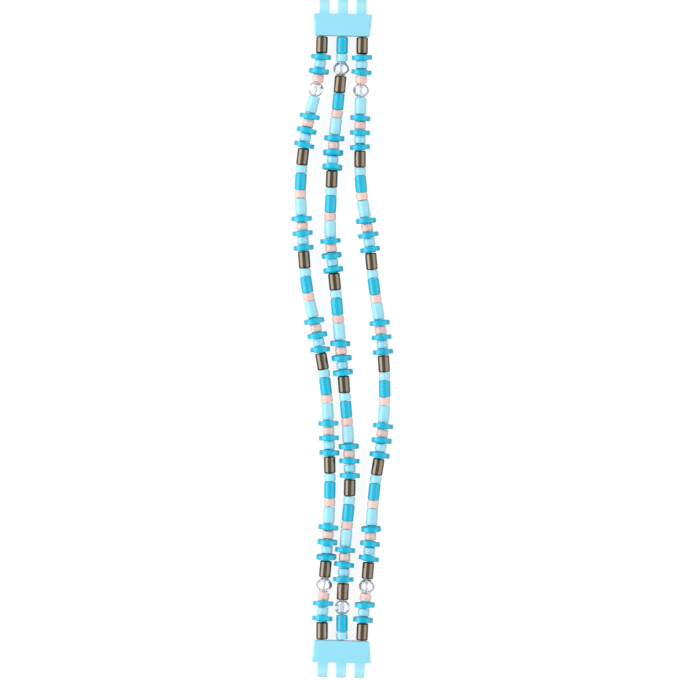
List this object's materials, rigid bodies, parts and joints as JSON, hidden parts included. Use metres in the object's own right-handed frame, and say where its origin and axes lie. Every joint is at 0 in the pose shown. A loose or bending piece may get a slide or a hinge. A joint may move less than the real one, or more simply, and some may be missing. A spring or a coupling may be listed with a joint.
{
  "type": "beaded watch strap",
  "caption": "Beaded stretch watch strap: elastic cords strung with tube, disc, round and faceted beads between moulded end connectors with prongs for spring bars.",
  "frame": {"origin": "middle of the strap's length and width, on the surface that it lies on with its wrist side down", "axes": "+X across the strap, +Y along it towards the top connector, +Z from the wrist side to the outer side"},
  "size_m": [0.0204, 0.1362, 0.004],
  "materials": {
    "connector": "satin moulded pale blue",
    "bronze": "bronze metallised gloss",
    "turquoise": "gloss turquoise",
    "pale_blue": "gloss pale blue",
    "pink": "gloss pale pink",
    "crystal": "clear faceted",
    "elastic": "clear elastic cord"
  },
  "bodies": {
    "top_connector": {"top_connector": "connector", "left_cord": "elastic", "middle_cord": "elastic", "right_cord": "elastic"},
    "row_01": {"bronze_tubes_01": "bronze", "turquoise_beads_01": "turquoise", "pale_blue_beads_01": "pale_blue", "pink_beads_01": "pink", "crystals_01": "crystal"},
    "row_02": {"turquoise_beads_02": "turquoise", "pale_blue_beads_02": "pale_blue", "pink_beads_02": "pink"},
    "row_03": {"bronze_tubes_03": "bronze", "turquoise_beads_03": "turquoise", "pale_blue_beads_03": "pale_blue"},
    "row_04": {"turquoise_beads_04": "turquoise", "pale_blue_beads_04": "pale_blue", "pink_beads_04": "pink"},
    "row_05": {"turquoise_beads_05": "turquoise", "pale_blue_beads_05": "pale_blue", "pink_beads_05": "pink"},
    "row_06": {"bronze_tubes_06": "bronze", "turquoise_beads_06": "turquoise", "pale_blue_beads_06": "pale_blue"},
    "row_07": {"turquoise_beads_07": "turquoise", "pale_blue_beads_07": "pale_blue", "pink_beads_07": "pink"},
    "row_08": {"turquoise_beads_08": "turquoise", "pale_blue_beads_08": "pale_blue", "pink_beads_08": "pink"},
    "row_09": {"bronze_tubes_09": "bronze", "turquoise_beads_09": "turquoise", "pale_blue_beads_09": "pale_blue"},
    "row_10": {"turquoise_beads_10": "turquoise", "pale_blue_beads_10": "pale_blue", "pink_beads_10": "pink"},
    "row_11": {"turquoise_beads_11": "turquoise", "pale_blue_beads_11": "pale_blue", "pink_beads_11": "pink"},
    "row_12": {"bronze_tubes_12": "bronze", "turquoise_beads_12": "turquoise", "pale_blue_beads_12": "pale_blue"},
    "row_13": {"turquoise_beads_13": "turquoise", "pale_blue_beads_13": "pale_blue", "pink_beads_13": "pink"},
    "row_14": {"turquoise_beads_14": "turquoise", "pale_blue_beads_14": "pale_blue", "pink_beads_14": "pink"},
    "row_15": {"bronze_tubes_15": "bronze", "turquoise_beads_15": "turquoise", "pale_blue_beads_15": "pale_blue"},
    "row_16": {"bronze_tubes_16": "bronze", "turquoise_beads_16": "turquoise", "pale_blue_beads_16": "pale_blue", "pink_beads_16": "pink", "crystals_16": "crystal"},
    "bottom_connector": {"bottom_connector": "connector"}
  },
  "joints": [
    {"name": "bend_01", "type": "hinge", "parent": "top_connector", "child": "row_01", "pos_m": [0, 0.06045, 0.00085], "axis": [1, 0, 0], "range_deg": [0, 22], "deforming": ["left_cord", "middle_cord", "right_cord"]},
    {"name": "bend_02", "type": "hinge", "parent": "row_01", "child": "row_02", "pos_m": [0, 0.04862, 0.00085], "axis": [1, 0, 0], "range_deg": [0, 22]},
    {"name": "bend_03", "type": "hinge", "parent": "row_02", "child": "row_03", "pos_m": [0, 0.03785, 0.00085], "axis": [1, 0, 0], "range_deg": [0, 22]},
    {"name": "bend_04", "type": "hinge", "parent": "row_03", "child": "row_04", "pos_m": [0, 0.02914, 0.00085], "axis": [1, 0, 0], "range_deg": [0, 22]},
    {"name": "stretch_1", "type": "slide", "parent": "row_04", "child": "row_05", "axis": [0, -1, 0], "range_m": [0, 0.003], "stiffness_N_per_m": 100},
    {"name": "bend_05", "type": "hinge", "parent": "row_05", "child": "row_06", "pos_m": [0, 0.01728, 0.00085], "axis": [1, 0, 0], "range_deg": [0, 22]},
    {"name": "bend_06", "type": "hinge", "parent": "row_06", "child": "row_07", "pos_m": [0, 0.0086, 0.00085], "axis": [1, 0, 0], "range_deg": [0, 22]},
    {"name": "stretch_2", "type": "slide", "parent": "row_07", "child": "row_08", "axis": [0, -1, 0], "range_m": [0, 0.003], "stiffness_N_per_m": 100},
    {"name": "bend_07", "type": "hinge", "parent": "row_08", "child": "row_09", "pos_m": [0, -0.00319, 0.00085], "axis": [1, 0, 0], "range_deg": [0, 22]},
    {"name": "bend_08", "type": "hinge", "parent": "row_09", "child": "row_10", "pos_m": [0, -0.0119, 0.00085], "axis": [1, 0, 0], "range_deg": [0, 22]},
    {"name": "stretch_3", "type": "slide", "parent": "row_10", "child": "row_11", "axis": [0, -1, 0], "range_m": [0, 0.003], "stiffness_N_per_m": 100},
    {"name": "bend_09", "type": "hinge", "parent": "row_11", "child": "row_12", "pos_m": [0, -0.02385, 0.00085], "axis": [1, 0, 0], "range_deg": [0, 22]},
    {"name": "bend_10", "type": "hinge", "parent": "row_12", "child": "row_13", "pos_m": [0, -0.0326, 0.00085], "axis": [1, 0, 0], "range_deg": [0, 22]},
    {"name": "stretch_4", "type": "slide", "parent": "row_13", "child": "row_14", "axis": [0, -1, 0], "range_m": [0, 0.003], "stiffness_N_per_m": 100},
    {"name": "bend_11", "type": "hinge", "parent": "row_14", "child": "row_15", "pos_m": [0, -0.04463, 0.00085], "axis": [1, 0, 0], "range_deg": [0, 22]},
    {"name": "bend_12", "type": "hinge", "parent": "row_15", "child": "row_16", "pos_m": [0, -0.04839, 0.00085], "axis": [1, 0, 0], "range_deg": [0, 22]},
    {"name": "bend_13", "type": "hinge", "parent": "row_16", "child": "bottom_connector", "pos_m": [0, -0.06045, 0.00085], "axis": [1, 0, 0], "range_deg": [0, 22]}
  ],
  "couplings": [
    {"joint": "stretch_2", "follows": "stretch_1", "ratio": 1},
    {"joint": "stretch_3", "follows": "stretch_1", "ratio": 1},
    {"joint": "stretch_4", "follows": "stretch_1", "ratio": 1}
  ]
}
